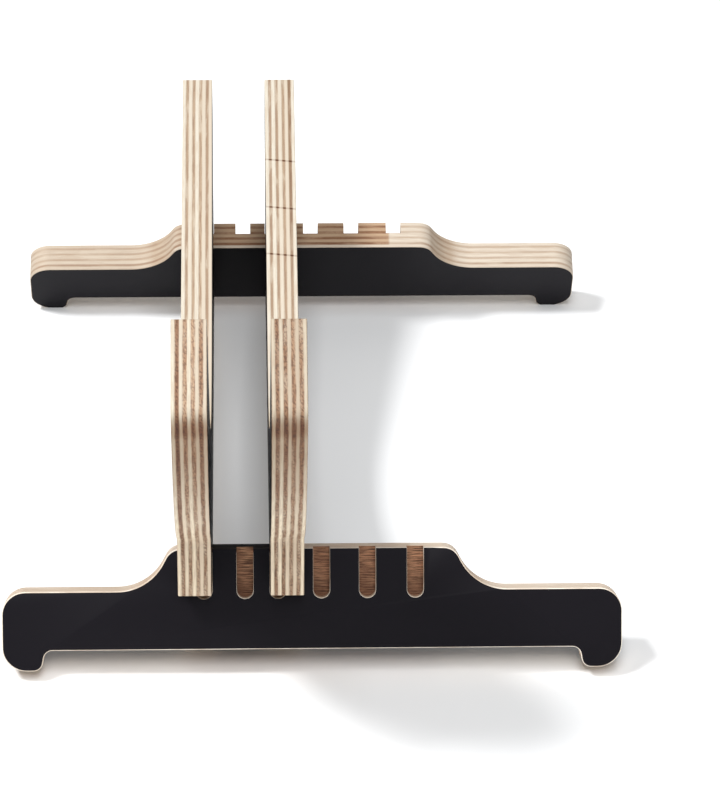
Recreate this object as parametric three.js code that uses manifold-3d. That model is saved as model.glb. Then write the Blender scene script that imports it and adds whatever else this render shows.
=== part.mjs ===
// Floor stand for a bicycle wheel, cut from flat plywood boards that slot together without fasteners.
// Two side panels stand along the wheel, one on each side of the tyre. Two cross feet carry them,
// and each foot leans in under the wheel, so that the tyre rests squarely on its top edge.
//
// Millimetres. +X across the stand, +Y forwards along the wheel, +Z up.
// The origin is on the floor, under the middle of the whole stand.

import * as THREE from 'three';
import { mergeVertices } from 'three/addons/utils/BufferGeometryUtils.js';
import Module from 'manifold-3d';

// Board
const BOARD = 15;                       // thickness of every board
const GAP = 0.3;                        // clearance on each side of a joint
const CHORD_ERROR = 0.02;               // how far an arc's chords may lie from the arc

// Cross feet: widths are from the foot's centre line, rises are up its face from the foot's lower edge
const LEAN = THREE.MathUtils.degToRad(26);
const REST_SPREAD = 314;                // between the lines that the two feet stand on
const FEET_MIDPOINT_Y = 32.63;          // halfway between those two lines
const PAD_FLAT_DEPTH = 0.3;             // planed off each pad's lower edge, to stand flat on the floor
const FOOT_HALF_SPAN = 140;
const CROWN_RISE = 55.2;                // raised middle, which holds the grooves
const CROWN_HALF_WIDTH = 63.8;
const WING_RISE = 36.1;
const WING_START = 74;                  // where the crown's shoulder would meet the wing if it weren't rounded
const UNDERSIDE_RISE = 9.3;
const PAD_INNER_BOTTOM = 122.4;
const PAD_INNER_TOP = 120.8;

// Grooves in each foot's outer face. The side panels fill two of them and the rest set other widths.
const GROOVE_CENTRES = [-48.9, -30.4, -15.5, 4.1, 24.8, 46.4];
const GROOVE_WIDTH = 7.5;
const GROOVE_LENGTH = 22.8;             // from the crown down to the round end
const GROOVE_DEPTH = 6.3;
const LEFT_GROOVE = GROOVE_CENTRES[0];
const RIGHT_GROOVE = GROOVE_CENTRES[2];

// Side panels: y is from the midpoint of the feet
const RIB_WIDTH = GROOVE_WIDTH - 2 * GAP;
const PANEL_BOTTOM = 8.7;
const TONGUE_BOTTOM = 41.9;             // end of the tongue that hangs over a foot's outer face
const TONGUE_TIP_Y = 163.8;
const HEEL_Y = 165.5;                   // where a tongue meets the arm above it
const HEEL_HEIGHT = 74;
const FRONT_ARM_SLOPE = THREE.MathUtils.degToRad(15.5);
const FRONT_LIP = { y: 178, z: 122.5 };
const FRONT_END_CUT = 31;               // length of the front arm's square-cut end
const REAR_LIP = { y: -215, z: 219.3 };
const REAR_KNEE = { y: -251, z: 194.7 };
const REAR_BOW = { y: -230.5, z: 125.2 };   // corner that the long bow below the knee rounds off
const REAR_BOW_RADIUS = 205;
const CRADLE = { y: -82.7, z: 50.2 };       // corner that the hollow between the arms rounds off
const CRADLE_RADIUS = 150;

const BLACK_FACED_PLYWOOD = { color: 0x26252a, roughness: 0.5, metalness: 0 };

const wasm = await Module();
wasm.setup();

// Points of a closed outline through corners [x, y, radius], each one rounded by an arc.
function roundedOutline(corners) {
  const points = [];
  corners.forEach(([x, y, radius], index) => {
    const corner = new THREE.Vector2(x, y);
    const previous = corners[(index + corners.length - 1) % corners.length];
    const next = corners[(index + 1) % corners.length];
    const back = new THREE.Vector2(previous[0], previous[1]).sub(corner).normalize();
    const ahead = new THREE.Vector2(next[0], next[1]).sub(corner).normalize();
    if (radius === 0) {
      points.push(corner);
      return;
    }
    const halfAngle = Math.acos(THREE.MathUtils.clamp(back.dot(ahead), -1, 1)) / 2;
    const turn = Math.PI - 2 * halfAngle;
    const start = corner.clone().addScaledVector(back, radius / Math.tan(halfAngle));
    const centre = corner.clone()
      .addScaledVector(back.clone().add(ahead).normalize(), radius / Math.sin(halfAngle));
    const direction = Math.sign(back.cross(ahead)) * -1;
    const steps = Math.ceil(turn / (2 * Math.acos(1 - CHORD_ERROR / radius)));
    for (let step = 0; step <= steps; step += 1) {
      points.push(start.clone().rotateAround(centre, (direction * turn * step) / steps));
    }
  });
  return points;
}

// Flat board of the given outline, from z = 0 up to its thickness.
function board(points, thickness) {
  return new THREE.ExtrudeGeometry(new THREE.Shape(points), { depth: thickness, bevelEnabled: false });
}

// Box between two corners.
function block(low, high) {
  const size = high.clone().sub(low);
  const centre = low.clone().add(high).multiplyScalar(0.5);
  return new THREE.BoxGeometry(size.x, size.y, size.z).translate(centre.x, centre.y, centre.z);
}

function toSolid(geometry) {
  const bare = geometry.index ? geometry.clone() : geometry;
  bare.deleteAttribute('normal');
  bare.deleteAttribute('uv');
  const merged = mergeVertices(bare);
  return new wasm.Manifold(new wasm.Mesh({
    numProp: 3,
    vertProperties: new Float32Array(merged.attributes.position.array),
    triVerts: new Uint32Array(merged.index.array),
  }));
}

function toGeometry(solid) {
  const mesh = solid.getMesh();
  const geometry = new THREE.BufferGeometry();
  geometry.setAttribute('position', new THREE.BufferAttribute(mesh.vertProperties, 3));
  geometry.setIndex(new THREE.BufferAttribute(mesh.triVerts, 1));
  geometry.computeVertexNormals();
  return geometry;
}

function cut(geometry, cutters) {
  return toGeometry(cutters.reduce((solid, cutter) => solid.subtract(toSolid(cutter)), toSolid(geometry)));
}

// ---- Cross feet ----
// A foot lies in its own frame: x across, y up its face, z out of its outer face, inner face at z = 0.

function footOutline() {
  const half = [
    [CROWN_HALF_WIDTH, CROWN_RISE, 7.7],
    [WING_START, WING_RISE, 23.5],
    [FOOT_HALF_SPAN, WING_RISE, 10.5],
    [FOOT_HALF_SPAN, 0, 11],
    [PAD_INNER_BOTTOM, 0, 4.3],
    [PAD_INNER_TOP, UNDERSIDE_RISE, 4],
  ];
  const mirrored = half.map(([x, y, radius]) => [-x, y, radius]).reverse();
  return roundedOutline([...half, ...mirrored]);
}

function grooveCutter(centre) {
  const radius = GROOVE_WIDTH / 2;
  const bottom = CROWN_RISE - GROOVE_LENGTH;
  const top = CROWN_RISE + 1;
  const outline = roundedOutline([
    [centre + radius, bottom, radius * 0.999],
    [centre + radius, top, 0],
    [centre - radius, top, 0],
    [centre - radius, bottom, radius * 0.999],
  ]);
  return board(outline, GROOVE_DEPTH + 1).translate(0, 0, BOARD - GROOVE_DEPTH);
}

// The floor as the foot sees it: everything below the stand's base, in the foot's own frame.
function floorCutter() {
  const reach = new THREE.Vector3(FOOT_HALF_SPAN + 10, 40, 40);
  const floor = block(reach.clone().negate(), new THREE.Vector3(reach.x, reach.y, 0));
  floor.translate(0, 0, PAD_FLAT_DEPTH);
  return floor.rotateX(LEAN - Math.PI / 2);
}

function crossFoot(name, grooveCentres) {
  const cutters = [...grooveCentres.map(grooveCutter), floorCutter()];
  const geometry = cut(board(footOutline(), BOARD), cutters);
  const foot = new THREE.Mesh(geometry, new THREE.MeshStandardMaterial(BLACK_FACED_PLYWOOD));
  foot.name = name;
  foot.position.set(0, -REST_SPREAD / 2, -PAD_FLAT_DEPTH);
  foot.rotation.x = Math.PI / 2 - LEAN;
  return foot;
}

// ---- Side panels ----
// A panel's outline is drawn in y and z, and the board's thickness then runs along x.

// Middle of the rear foot's thickness at a height, where the outline passes unseen inside the slot.
function insideRearFoot(height) {
  const middleHeight = BOARD / 2 * Math.sin(LEAN) - PAD_FLAT_DEPTH;
  const middleY = -REST_SPREAD / 2 - BOARD / 2 * Math.cos(LEAN);
  return middleY + (height - middleHeight) * Math.tan(LEAN);
}

function panelOutline() {
  const frontEnd = {
    y: FRONT_LIP.y + FRONT_END_CUT * Math.sin(FRONT_ARM_SLOPE),
    z: FRONT_LIP.z - FRONT_END_CUT * Math.cos(FRONT_ARM_SLOPE),
  };
  return roundedOutline([
    [insideRearFoot(PANEL_BOTTOM), PANEL_BOTTOM, 0],
    [-insideRearFoot(PANEL_BOTTOM), PANEL_BOTTOM, 0],
    [-insideRearFoot(TONGUE_BOTTOM), TONGUE_BOTTOM, 0],
    [TONGUE_TIP_Y, TONGUE_BOTTOM, 1.2],
    [HEEL_Y, HEEL_HEIGHT, 6],
    [frontEnd.y, frontEnd.z, 4],
    [FRONT_LIP.y, FRONT_LIP.z, 1.2],
    [CRADLE.y, CRADLE.z, CRADLE_RADIUS],
    [REAR_LIP.y, REAR_LIP.z, 1.5],
    [REAR_KNEE.y, REAR_KNEE.z, 6],
    [REAR_BOW.y, REAR_BOW.z, REAR_BOW_RADIUS],
    [-HEEL_Y, HEEL_HEIGHT, 6],
    [-TONGUE_TIP_Y, TONGUE_BOTTOM, 1.2],
    [insideRearFoot(TONGUE_BOTTOM), TONGUE_BOTTOM, 0],
  ]);
}

// Slot for the rear foot over a range of x, with its outer wall at a height above the foot's inner face.
function slotCutter(lowX, highX, outerWall) {
  const low = new THREE.Vector3(lowX, -2 * BOARD, -GAP);
  const high = new THREE.Vector3(highX, CROWN_RISE + GAP, outerWall);
  return block(low, high)
    .rotateX(Math.PI / 2 - LEAN)
    .translate(0, -REST_SPREAD / 2, -PAD_FLAT_DEPTH);
}

// The half of the board next to the wheel keeps a rib that fills the foot's groove.
// The other half is cut to the foot's full thickness.
function slotCutters(innerX, outwards) {
  const ribX = innerX + outwards * RIB_WIDTH;
  const outerX = innerX + outwards * (BOARD + 1);
  const beforeX = innerX - outwards;
  const ribbed = [Math.min(beforeX, ribX), Math.max(beforeX, ribX), BOARD - GROOVE_DEPTH + GAP];
  const plain = [Math.min(ribX, outerX), Math.max(ribX, outerX), BOARD + GAP];
  const rear = [ribbed, plain];
  const mirrored = rear.map(([low, high, wall]) => slotCutter(-high, -low, wall).rotateZ(Math.PI));
  return [...rear.map((range) => slotCutter(...range)), ...mirrored];
}

function sidePanel(name, groove, outwards) {
  const innerX = groove - outwards * RIB_WIDTH / 2;
  const lowX = Math.min(innerX, innerX + outwards * BOARD);
  const blank = board(panelOutline(), BOARD);
  blank.rotateX(Math.PI / 2).rotateZ(Math.PI / 2).translate(lowX, 0, 0);
  const geometry = cut(blank, slotCutters(innerX, outwards));
  const panel = new THREE.Mesh(geometry, new THREE.MeshStandardMaterial(BLACK_FACED_PLYWOOD));
  panel.name = name;
  return panel;
}

// ---- Stand ----

const rearFoot = crossFoot('rear_cross_foot', GROOVE_CENTRES);

// The front foot is the rear one's mirror image: its grooves are mirrored and it is turned about.
const frontFoot = new THREE.Group();
frontFoot.add(crossFoot('front_cross_foot', GROOVE_CENTRES.map((centre) => -centre)));
frontFoot.rotation.z = Math.PI;

const stand = new THREE.Group();
stand.add(sidePanel('left_side_panel', LEFT_GROOVE, -1));
stand.add(sidePanel('right_side_panel', RIGHT_GROOVE, 1));
stand.add(rearFoot, frontFoot);
stand.position.y = FEET_MIDPOINT_Y;

export default stand;
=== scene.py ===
import math
import bmesh
import bpy
from mathutils import Matrix, Vector


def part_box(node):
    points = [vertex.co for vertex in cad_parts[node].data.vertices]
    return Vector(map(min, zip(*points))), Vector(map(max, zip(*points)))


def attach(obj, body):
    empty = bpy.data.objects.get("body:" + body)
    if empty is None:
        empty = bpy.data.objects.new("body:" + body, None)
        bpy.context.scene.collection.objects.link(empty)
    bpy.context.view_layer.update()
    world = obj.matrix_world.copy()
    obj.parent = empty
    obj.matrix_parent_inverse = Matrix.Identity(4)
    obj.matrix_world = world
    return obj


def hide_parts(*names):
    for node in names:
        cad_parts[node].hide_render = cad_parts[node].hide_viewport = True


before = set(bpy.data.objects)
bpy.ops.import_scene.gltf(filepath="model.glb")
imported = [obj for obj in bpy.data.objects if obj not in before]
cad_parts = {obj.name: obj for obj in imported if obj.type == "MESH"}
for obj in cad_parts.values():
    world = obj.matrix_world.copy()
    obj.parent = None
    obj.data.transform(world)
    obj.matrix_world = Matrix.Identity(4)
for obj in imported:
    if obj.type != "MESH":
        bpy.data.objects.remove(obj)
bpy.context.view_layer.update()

# Floor stand for a bicycle wheel: four boards of black film-faced birch plywood, slotted together.
# Each board is the CAD solid with its edges eased, in the board's own frame, so that the plies
# and the grain follow the board: x along it, y up its face and z through its thickness.

MM = 0.001
TURN_ABOUT = Matrix.Rotation(math.pi, 4, "Z")

# Boards
LEAN = math.radians(26)                 # how far each cross foot leans in under the wheel
REST_SPREAD = 314 * MM                  # between the lines that the two feet stand on
FEET_MIDPOINT = Vector((0, 32.63, 0)) * MM     # midway between them, on the floor
PAD_FLAT = 0.3 * MM                     # planed off each pad's lower edge
PANEL_LOW, PANEL_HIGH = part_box("left_side_panel")
BOARD = PANEL_HIGH.x - PANEL_LOW.x
PLIES = 9
PLY = BOARD / PLIES / MM                # in millimetres, as everything in the materials is
GROOVE_FLOOR = 8.7 * MM                 # height of a groove's floor above the foot's inner face
ARRIS = 0.34 * MM                       # eased edges
MOUTH_ARRIS = 0.1 * MM                  # the crisper ones around the grooves
SHARP = math.radians(40)                # corners turned by more than this are eased
CREASE = math.radians(18)               # edges turned by less than this are shaded smooth
COPLANAR = math.radians(0.2)
WELD = 1e-6
SQUARE_ON = 0.999                       # least part along the thickness of a flat face's normal
FLUSH = 10 * WELD                       # how near a film face lies to the board's face

# Light, in metres. Together the sky, the fill and the key overexpose the floor. Where only the sky
# and the fill reach it, its shadows are pale grey.
SKY = 0.3
FILL_AT = Vector((0.1, -1.7, 3.0))
FILL_SIZE = (1.2, 2.4)
FILL_WATTS = 78
KEY_AT = Vector((-1.8, -0.42, 3.0))
KEY_SIZE = (0.7, 0.7)
KEY_WATTS = 108
FLOOR_SIZE = 30

# How much brighter than its own colour a board's edge shows: one that lies level, and the rear
# foot's, which gets less light.
WOOD_GAIN = 1.45
REAR_FOOT_GAIN = 1.18

# Camera
CAMERA_AT = Vector((-29.9, -1615.97, 1092.0)) * MM
CAMERA_DOWN = math.radians(32.55)
CAMERA_YAW = math.radians(1.93)
CAMERA_ROLL = math.radians(0.66)
LENS = 202.5
SENSOR = 36


def colour(red, green, blue):
    """Linear colour with alpha from display values of 0 to 255."""
    def linear(value):
        share = value / 255
        return share / 12.92 if share <= 0.04045 else ((share + 0.055) / 1.055) ** 2.4
    return (linear(red), linear(green), linear(blue), 1)


def wood(red, green, blue, gain=WOOD_GAIN):
    """Linear colour of a board edge that shows these display values where the light brightens it by gain."""
    bright = colour(red, green, blue)
    return tuple(channel / gain for channel in bright[:3]) + (1,)


# ---- Materials ----

class Graph:
    """One material's nodes. Values may be numbers, colours or other nodes' outputs."""

    def __init__(self, name):
        self.material = bpy.data.materials.new(name)
        self.material.use_nodes = True
        self.nodes = self.material.node_tree.nodes
        self.links = self.material.node_tree.links
        self.shader = self.nodes["Principled BSDF"]

    def put(self, socket, value):
        if isinstance(value, bpy.types.NodeSocket):
            self.links.new(value, socket)
        else:
            socket.default_value = value

    def set(self, **values):
        for name, value in values.items():
            self.put(self.shader.inputs[name.replace("_", " ")], value)

    def math(self, operation, *values):
        node = self.nodes.new("ShaderNodeMath")
        node.operation = operation
        for socket, value in zip(node.inputs, values):
            self.put(socket, value)
        return node.outputs[0]

    def add(self, *values):
        total = values[0]
        for value in values[1:]:
            total = self.math("ADD", total, value)
        return total

    def times(self, *values):
        product = values[0]
        for value in values[1:]:
            product = self.math("MULTIPLY", product, value)
        return product

    def smooth(self, value, low, high):
        """0 at low and 1 at high, easing between them. It falls instead where high is the lower."""
        node = self.nodes.new("ShaderNodeMapRange")
        node.interpolation_type = "SMOOTHSTEP"
        self.put(node.inputs["Value"], value)
        self.put(node.inputs["From Min"], low)
        self.put(node.inputs["From Max"], high)
        return node.outputs["Result"]

    def band(self, value, start, full, fading, end):
        """1 from full to fading, easing to 0 at start and at end."""
        return self.times(self.smooth(value, start, full), self.smooth(value, end, fading))

    def span(self, value, low, high):
        """A number that runs from low to high as value runs from 0 to 1."""
        return self.math("MULTIPLY_ADD", value, high - low, low)

    def mix(self, share, first, second, blend="MIX"):
        """A Mix node for colours, which takes them at inputs 6 and 7 and gives one at output 2."""
        node = self.nodes.new("ShaderNodeMix")
        node.data_type = "RGBA"
        node.blend_type = blend
        self.put(node.inputs[0], share)
        self.put(node.inputs[6], first)
        self.put(node.inputs[7], second)
        return node.outputs[2]

    def stained(self, base, stains):
        """The base colour multiplied by each stain's colour, as far as its share says."""
        for share, stain in stains:
            base = self.mix(share, base, stain, "MULTIPLY")
        return base

    def vector(self, x, y, z):
        node = self.nodes.new("ShaderNodeCombineXYZ")
        for socket, value in zip(node.inputs, (x, y, z)):
            self.put(socket, value)
        return node.outputs[0]

    def local(self):
        """The board's own x, y and z, in millimetres."""
        coordinates = self.nodes.new("ShaderNodeTexCoord").outputs["Object"]
        apart = self.nodes.new("ShaderNodeSeparateXYZ")
        self.put(apart.inputs[0], coordinates)
        return [self.times(axis, 1 / MM) for axis in apart.outputs]

    def noise(self, x, y, z, detail=2.0):
        node = self.nodes.new("ShaderNodeTexNoise")
        self.put(node.inputs["Vector"], self.vector(x, y, z))
        self.put(node.inputs["Scale"], 1.0)
        self.put(node.inputs["Detail"], detail)
        return node.outputs["Fac"]

    def random(self, value):
        node = self.nodes.new("ShaderNodeTexWhiteNoise")
        node.noise_dimensions = "1D"
        self.put(node.inputs["W"], value)
        return node.outputs["Value"]

    def bump(self, height, distance):
        node = self.nodes.new("ShaderNodeBump")
        self.put(node.inputs["Height"], height)
        self.put(node.inputs["Distance"], distance)
        self.put(self.shader.inputs["Normal"], node.outputs[0])


def black_film():
    """Satin phenolic film, with a faint pressed texture."""
    g = Graph("black_film")
    x, y, z = g.local()
    cloud = g.noise(g.times(x, 0.03), g.times(y, 0.03), g.times(z, 0.03))
    pores = g.noise(g.times(x, 1.6), g.times(y, 1.6), g.times(z, 1.6), 3.0)
    g.set(
        Base_Color=g.mix(cloud, colour(19, 17, 22), colour(22, 20, 25)),
        Roughness=g.span(pores, 0.42, 0.54),
        Specular_IOR_Level=0.1,
    )
    g.bump(pores, 0.00002)
    return g.material


def groove_floor():
    """Inner ply laid bare by the cutter, with its fibres and the cutter's fine steps across the groove.
    The numbers in place of z only set the noises apart."""
    g = Graph("groove_floor")
    x, y, z = g.local()
    steps = g.noise(g.times(x, 0.09), g.times(y, 4.6), 3.0, 3.0)
    fibres = g.noise(g.times(x, 0.2), g.times(y, 2.6), 19.0, 2.0)
    patches = g.noise(g.times(x, 0.12), g.times(y, 0.1), 7.0)
    # Painted shade: the floor is painted darker towards the groove's closed end, deep in the recess.
    deep_groove_shade = g.smooth(y, 49, 35)
    base = g.mix(g.smooth(patches, 0.35, 0.65), colour(184, 136, 102), colour(160, 113, 83))
    base = g.mix(g.times(g.smooth(steps, 0.46, 0.56), 0.95), base, colour(64, 40, 28))
    base = g.mix(g.times(g.smooth(fibres, 0.5, 0.62), 0.6), base, colour(56, 36, 27))
    base = g.mix(g.times(deep_groove_shade, 0.5), base, colour(84, 54, 38))
    g.set(Base_Color=base, Roughness=g.span(steps, 0.55, 0.75), Specular_IOR_Level=0.3)
    g.bump(g.add(steps, g.times(fibres, 0.4)), 0.00008)
    return g.material


def ply_layers(g, x, y, z, seed):
    """How brown each place is by its ply alone, from 0 to 0.5, and the tones of its pale and brown ply.
    The plies wander a little along the board."""
    wander = g.noise(g.times(x, 0.02), g.times(y, 0.02), 0.0, 1.0)
    turn = g.add(g.times(z, 1 / PLY), g.span(wander, -0.12, 0.12))
    wave = g.span(g.math("COSINE", g.times(g.add(turn, -0.5), math.pi)), 0.5, 0.0)
    pale_tone = g.random(g.add(g.math("FLOOR", g.times(g.add(turn, 0.5), 0.5)), seed * 11.3))
    dark_tone = g.random(g.add(g.math("FLOOR", g.times(g.add(turn, -0.5), 0.5)), seed * 5.7 + 0.5))
    return wave, pale_tone, dark_tone


def sawn_grain(g, x, y, z):
    """Noises for sawn fibres. Streaks run along the plies, with short grain up and down them, open
    pores lie on the slant, and some places are worn paler."""
    slant = g.add(g.times(z, 0.9), g.times(y, 1.15))
    return {
        "streaks": g.noise(g.times(x, 0.1), g.times(y, 0.1), g.times(z, 1.7), 4.0),
        "along": g.noise(g.times(x, 0.06), g.times(y, 1.1), g.times(z, 1.4), 3.0),
        "across": g.noise(g.times(x, 1.1), g.times(y, 0.09), g.times(z, 1.4), 3.0),
        "pores": g.noise(g.times(x, 0.75), slant, g.times(z, 1.1), 3.0),
        "worn": g.noise(g.times(x, 0.06), g.times(y, 0.06), g.times(z, 0.5), 3.0),
    }


def ply_colours(g, place, grain, pale_tone, dark_tone):
    """The colour of the pale plies and of the brown ones, with their streaks, worn places and pores."""
    streaks = grain["streaks"]
    pale = g.mix(g.times(pale_tone, 0.9), place["pale"], place["pale_aged"])
    pale = g.mix(g.times(g.smooth(streaks, 0.45, 0.6), 0.8), pale, place["pale_aged"])
    dark = g.mix(g.span(dark_tone, 0.1, 0.9), place["brown"], place["brown_deep"])
    dark = g.mix(g.times(g.smooth(streaks, 0.54, 0.42), 0.8), dark, place["brown_deep"])
    dark = g.mix(g.times(g.smooth(grain["worn"], 0.52, 0.66), 0.5), dark, place["pale_aged"])
    flecked = g.times(g.smooth(grain["pores"], 0.48, 0.58), place["flecks"])
    dark = g.mix(g.times(flecked, g.span(dark_tone, 0.6, 1.0)), dark, place["fleck"])
    return pale, dark


def ply_edge(name, seed, look):
    """Bare cut edge of the board: pale and brown plies by turns, each with its own tone and grain.
    The seed sets one board's grain apart from the others'. look(g, x, y, z) returns what changes
    from place to place on one board: the plies' colours, how flecked the brown ones are, the
    threshold that makes them narrower, their strength, and how much they fade and how ragged their
    sides are. Its stains colour every ply, and its marks mostly the brown ones."""
    g = Graph(name)
    x, y, z = g.local()
    place = look(g, x, y, z)
    shifted = g.add(x, seed * 173.0)
    wave, pale_tone, dark_tone = ply_layers(g, shifted, y, z, seed)
    grain = sawn_grain(g, shifted, y, z)
    pale, dark = ply_colours(g, place, grain, pale_tone, dark_tone)

    ragged = g.times(g.span(grain["streaks"], -1.0, 1.0), place["raggedness"])
    edge = g.add(place["threshold"], g.span(grain["across"], -0.1, 0.1), ragged)
    brownness = g.smooth(wave, g.add(edge, -0.36), g.add(edge, 0.36))
    faded = g.times(g.smooth(grain["worn"], 0.42, 0.58), place["fading"], -1.0)
    brownness = g.times(brownness, g.add(1.0, faded))

    base = g.mix(g.times(brownness, place["strength"]), pale, dark)
    marks = [(g.times(share, g.span(brownness, 0.35, 1.0)), mark) for share, mark in place["marks"]]
    g.set(
        Base_Color=g.stained(base, place["stains"] + marks),
        Roughness=g.span(grain["along"], 0.55, 0.75),
        Specular_IOR_Level=0.3,
    )
    relief = g.add(g.times(brownness, -0.6), g.times(grain["pores"], 0.5), g.times(grain["along"], 0.3))
    g.bump(relief, 0.00009)
    return g.material


def crossing_lines(g, x, z, front):
    """Thin dark lines that cross the front arm at a slight slant."""
    lines = []
    for centre in (154.5, 122.5, 91.5):
        off = g.math("ABSOLUTE", g.add(x, g.times(z, 0.12), -centre))
        lines.append((g.times(g.smooth(off, 0.8, 0.25), front), colour(142, 104, 80)))
    return lines


def panel_look(right):
    """A side panel's edge: warm and flecked on the rear arm, scorched below its knee, pale on the front
    arm. The right one also has lines across its front arm, and each has one ply that is darker."""
    def look(g, x, y, z):
        front = g.smooth(x, -60, -10)
        rear_arm = g.smooth(x, -120, -150)
        # Rises to 1 towards the floor; it carries the painted light below.
        low = g.smooth(y, 170, 80)
        scorched = g.times(g.band(y, 178, 184, 188, 195), g.smooth(x, -150, -190))
        # Darker on the rear arm just below the knee, fading down towards the bow.
        darker_below_knee = g.times(g.band(y, 110, 178, 184, 194), rear_arm)
        stains = [
            (g.times(scorched, 0.15), colour(210, 190, 168)),
            (g.times(darker_below_knee, 0.4), colour(222, 203, 183)),
        ]
        marks = [
            (scorched, colour(212, 184, 158)),
            (g.times(darker_below_knee, 0.8), colour(210, 186, 164)),
        ]
        if right:
            marks += crossing_lines(g, x, z, front)
            arm_top = g.times(g.smooth(x, -60, -90), g.smooth(y, 150, 200))
            darker_ply = g.times(g.band(z, 11.3, 11.8, 13.0, 13.5), g.smooth(x, 70, 110))
            stains.append((g.times(arm_top, 0.5), colour(214, 202, 192)))
            stains.append((g.times(darker_ply, 0.7), colour(206, 190, 176)))
        else:
            darker_ply = g.times(g.band(z, 1.5, 2.0, 3.2, 3.7), rear_arm)
            stains.append((g.times(darker_ply, 0.8), colour(196, 172, 158)))
        # Painted light: lower down the rear arm the pale plies are painted lighter, standing in for light
        # thrown up by the floor.
        rear_pale = g.mix(low, wood(235, 226, 205), colour(236, 221, 194))
        rear_pale_aged = g.mix(low, wood(218, 202, 180), wood(244, 222, 194))
        return {
            "pale": g.mix(front, rear_pale, wood(240, 232, 215)),
            "pale_aged": g.mix(front, rear_pale_aged, wood(229, 214, 193)),
            "brown": g.mix(front, wood(206, 172, 140), wood(196, 168, 138)),
            "brown_deep": g.mix(front, wood(154, 112, 81), wood(158, 122, 93)),
            "fleck": wood(108, 72, 52),
            "flecks": g.span(front, 0.95, 0.1),
            "threshold": g.span(front, 0.44, 0.57),
            "strength": g.span(front, 0.97, 0.86),
            "fading": g.span(front, 0.15, 0.05),
            "raggedness": g.span(front, 0.45, 0.12),
            "stains": stains,
            "marks": marks,
        }
    return look


def foot_look(crown_brown, tyre_shade_and_clean_ply, turned, gain):
    """A cross foot's edge: pale with thin soft lines on the wings, browner along the crown.
    The ply beside the inner face stays pale, and the line next to it is the strongest.
    Across runs to the stand's right on both feet, the turned one too."""
    def look(g, x, y, z):
        across = g.times(x, -1 if turned else 1)
        crown = g.times(g.smooth(y, 50, 53), g.band(across, -70, -56, 43.4, 44.8))
        # Painted shade: between about 40 and 50 mm up, where the wings rise to the crown, the edge is
        # painted darker.
        shaded_shoulder = g.band(y, 37, 40, 50, 54)
        # Below 50 mm and within about 56 mm of the middle, which takes in the groove walls: painted light
        # brightens the pale plies there, and painted shade darkens the inner plies.
        groove_light_and_shade = g.times(g.smooth(g.math("ABSOLUTE", x), 62, 56), g.smooth(y, 54, 50))
        left_wing = g.smooth(across, -64, -80)
        browned = g.smooth(z, 1.2, 2.0)
        # Where the pale plies are painted brighter: painted light in the grooves, and on the rear foot its
        # real pale outermost ply.
        lit_and_clean = groove_light_and_shade
        # On the rear foot the outermost ply stays pale and unbrowned.
        if tyre_shade_and_clean_ply:
            outermost = g.smooth(z, 12.6, 13.6)
            browned = g.times(browned, g.add(1.0, g.times(outermost, -1.0)))
            lit_and_clean = g.math("MAXIMUM", groove_light_and_shade, outermost)
        stains = [
            (g.times(crown, browned, crown_brown), colour(226, 203, 182)),
            (g.times(shaded_shoulder, 0.6), colour(226, 212, 198)),
            (g.times(left_wing, 0.7), colour(232, 226, 220)),
            # Painted shade inside the grooves: all but the outer plies darkened.
            (g.times(groove_light_and_shade, g.smooth(z, 13.2, 12.2), 0.8), colour(176, 150, 130)),
        ]
        if tyre_shade_and_clean_ply:
            # Painted shadow: the crown's top between the panels is painted near black, as the shade of a
            # tyre resting there.
            tyre_shadow_between_panels = g.band(across, -46.5, -45.5, -19.5, -18.5)
            stains.append((g.times(tyre_shadow_between_panels, g.smooth(y, 53, 54)), colour(28, 26, 28)))
        strongest_line = g.span(g.smooth(z, 3.7, 3.1), 0.7, 0.98)
        return {
            "pale": g.mix(lit_and_clean, wood(238, 225, 206, gain), colour(252, 244, 230)),
            "pale_aged": wood(222, 204, 184, gain),
            "brown": wood(200, 170, 141, gain),
            "brown_deep": g.mix(crown, wood(184, 158, 137, gain), wood(146, 106, 80, gain)),
            "fleck": wood(150, 112, 88, gain),
            "flecks": g.span(crown, 0.1, 0.7),
            "threshold": g.span(crown, 0.66, 0.55),
            "strength": g.math("MAXIMUM", strongest_line, g.times(crown, 0.9)),
            "fading": 0.3,
            "raggedness": 0.25,
            "stains": stains,
            "marks": [],
        }
    return look


# ---- Boards ----

def panel_place(node):
    """A side panel's own frame: x forwards, y up, z to the right."""
    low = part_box(node)[0]
    axes = Matrix(((0, 0, 1), (1, 0, 0), (0, 1, 0))).to_4x4()
    return Matrix.Translation((low.x, 0, 0)) @ axes


def foot_place(turned):
    """A cross foot's own frame: x across, y up its leaning face, z out of its outer face."""
    leaning = Matrix.Rotation(math.pi / 2 - LEAN, 4, "X")
    place = Matrix.Translation((0, -REST_SPREAD / 2, -PAD_FLAT)) @ leaning
    if turned:
        place = TURN_ABOUT @ place
    return Matrix.Translation(FEET_MIDPOINT) @ place


def is_film(face):
    height = face.calc_center_median().z
    on_face = abs(height) < FLUSH or abs(height - BOARD) < FLUSH
    return on_face and abs(face.normal.z) > SQUARE_ON


def is_groove_floor(face):
    height = face.calc_center_median().z
    return face.normal.z > SQUARE_ON and abs(height - GROOVE_FLOOR) < 0.5 * MM


def finish_of(face):
    """Which of the board's materials a face shows: 0 film, 1 cut edge, 2 groove floor."""
    if is_film(face):
        return 0
    return 2 if is_groove_floor(face) else 1


def ease(shape, edges, width):
    bmesh.ops.bevel(shape, geom=edges, offset=width, offset_type="OFFSET", segments=2, profile=0.5,
                    affect="EDGES", clamp_overlap=False)


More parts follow.
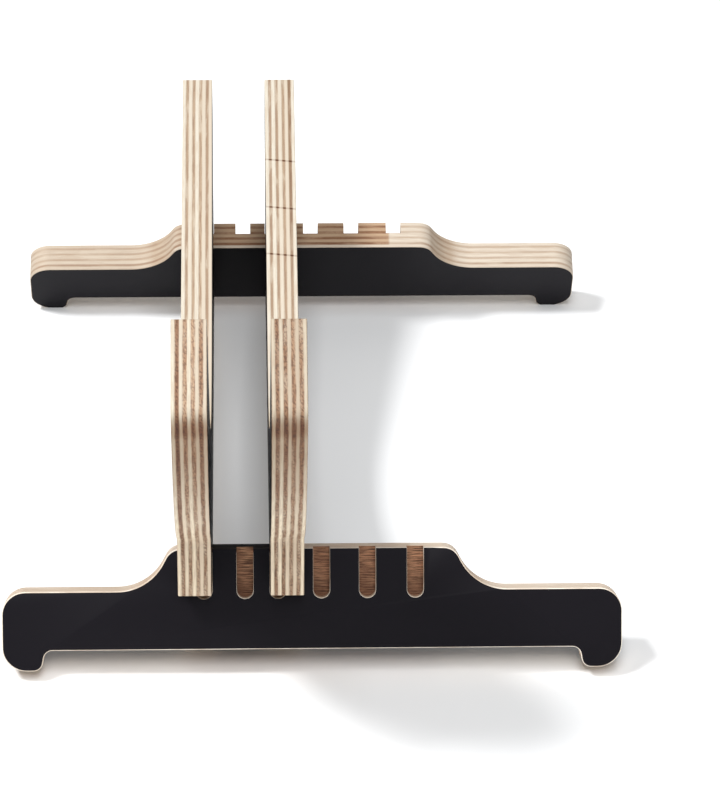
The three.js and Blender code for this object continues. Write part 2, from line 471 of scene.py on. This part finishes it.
def ease_corners(shape, place):
    """Ease every outer corner, the grooves' own least, apart from where the board stands on the floor."""
    def sharp():
        return [
            edge for edge in shape.edges
            if edge.is_convex and edge.calc_face_angle(0) > SHARP
            and all((place @ vertex.co).z > WELD for vertex in edge.verts)
        ]
    walls = {
        face for floor in shape.faces if is_groove_floor(floor) for edge in floor.edges
        for face in edge.link_faces if abs(face.normal.z) < 0.5
    }
    ease(shape, [edge for edge in sharp() if walls.isdisjoint(edge.link_faces)], ARRIS)
    ease(shape, sharp(), MOUTH_ARRIS)


def board(node, place, materials, body):
    """The board that stands for a CAD node: the same solid, with eased edges and its own materials."""
    shape = bmesh.new()
    shape.from_mesh(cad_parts[node].data)
    shape.transform(place.inverted())
    bmesh.ops.remove_doubles(shape, verts=shape.verts, dist=WELD)
    bmesh.ops.dissolve_limit(shape, angle_limit=COPLANAR, verts=shape.verts, edges=shape.edges)
    ease_corners(shape, place)
    bmesh.ops.recalc_face_normals(shape, faces=shape.faces)
    for face in shape.faces:
        face.smooth = True
        face.material_index = finish_of(face)
    mesh = bpy.data.meshes.new(node + "_board")
    shape.to_mesh(mesh)
    shape.free()
    mesh.set_sharp_from_angle(angle=CREASE)
    for material in materials:
        mesh.materials.append(material)
    piece = bpy.data.objects.new(node + "_board", mesh)
    bpy.context.scene.collection.objects.link(piece)
    piece.matrix_world = place
    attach(piece, body)
    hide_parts(node)


def make_boards():
    film = black_film()
    floor = groove_floor()
    # The rear foot carries the painted tyre shadow between the panels.
    rear_look = foot_look(crown_brown=0.1, tyre_shade_and_clean_ply=True, turned=False, gain=REAR_FOOT_GAIN)
    front_look = foot_look(crown_brown=1.0, tyre_shade_and_clean_ply=False, turned=True, gain=WOOD_GAIN)
    left = ply_edge("left_panel_edge", 1, panel_look(right=False))
    right = ply_edge("right_panel_edge", 2, panel_look(right=True))
    rear = ply_edge("rear_foot_edge", 3, rear_look)
    front = ply_edge("front_foot_edge", 4, front_look)
    board("left_side_panel", panel_place("left_side_panel"), (film, left), "side_panels")
    board("right_side_panel", panel_place("right_side_panel"), (film, right), "side_panels")
    board("rear_cross_foot", foot_place(False), (film, rear, floor), "rear_foot")
    board("front_cross_foot", foot_place(True), (film, front, floor), "front_foot")


# ---- Stage ----

def make_floor():
    g = Graph("studio_floor")
    x, y, _ = g.local()
    mottle = g.noise(g.times(x, 0.01), g.times(y, 0.01), 0.0)
    g.set(
        Base_Color=g.mix(mottle, colour(244, 245, 246), colour(248, 249, 250)),
        Roughness=0.9,
        Specular_IOR_Level=0.0,
    )
    bpy.ops.mesh.primitive_plane_add(size=FLOOR_SIZE)
    floor = bpy.context.object
    floor.name = "studio_floor"
    floor.data.materials.append(g.material)


def make_camera():
    """The camera looks down along the wheel from behind, with a hair of roll."""
    forward = Vector((
        math.sin(CAMERA_YAW) * math.cos(CAMERA_DOWN),
        math.cos(CAMERA_YAW) * math.cos(CAMERA_DOWN),
        -math.sin(CAMERA_DOWN),
    ))
    level = Vector((math.cos(CAMERA_YAW), -math.sin(CAMERA_YAW), 0))
    upward = level.cross(forward)
    right = math.cos(CAMERA_ROLL) * level + math.sin(CAMERA_ROLL) * upward
    up = math.cos(CAMERA_ROLL) * upward - math.sin(CAMERA_ROLL) * level
    data = bpy.data.cameras.new("camera")
    data.sensor_fit = "HORIZONTAL"
    data.sensor_width = SENSOR
    data.lens = LENS
    camera = bpy.data.objects.new("camera", data)
    axes = Matrix((right, up, -forward)).transposed().to_4x4()
    camera.matrix_world = Matrix.Translation(CAMERA_AT) @ axes
    bpy.context.scene.collection.objects.link(camera)
    bpy.context.scene.camera = camera


def softbox(name, place, size, watts):
    """A rectangular light that faces the stand, which is at the origin."""
    data = bpy.data.lights.new(name, "AREA")
    data.shape = "RECTANGLE"
    data.size, data.size_y = size
    data.energy = watts
    light = bpy.data.objects.new(name, data)
    light.location = place
    light.rotation_euler = (-place).to_track_quat("-Z", "Y").to_euler()
    bpy.context.scene.collection.objects.link(light)


def make_light():
    """Dim white surroundings, a long fill over the camera that reaches down between the panels, and a
    smaller key from the left."""
    world = bpy.data.worlds.new("studio")
    world.use_nodes = True
    background = world.node_tree.nodes["Background"]
    background.inputs["Color"].default_value = (1, 1, 1, 1)
    background.inputs["Strength"].default_value = SKY
    bpy.context.scene.world = world
    softbox("fill", FILL_AT, FILL_SIZE, FILL_WATTS)
    softbox("key", KEY_AT, KEY_SIZE, KEY_WATTS)
    bpy.context.scene.view_settings.view_transform = "Standard"


make_camera()
make_boards()
make_floor()
make_light()
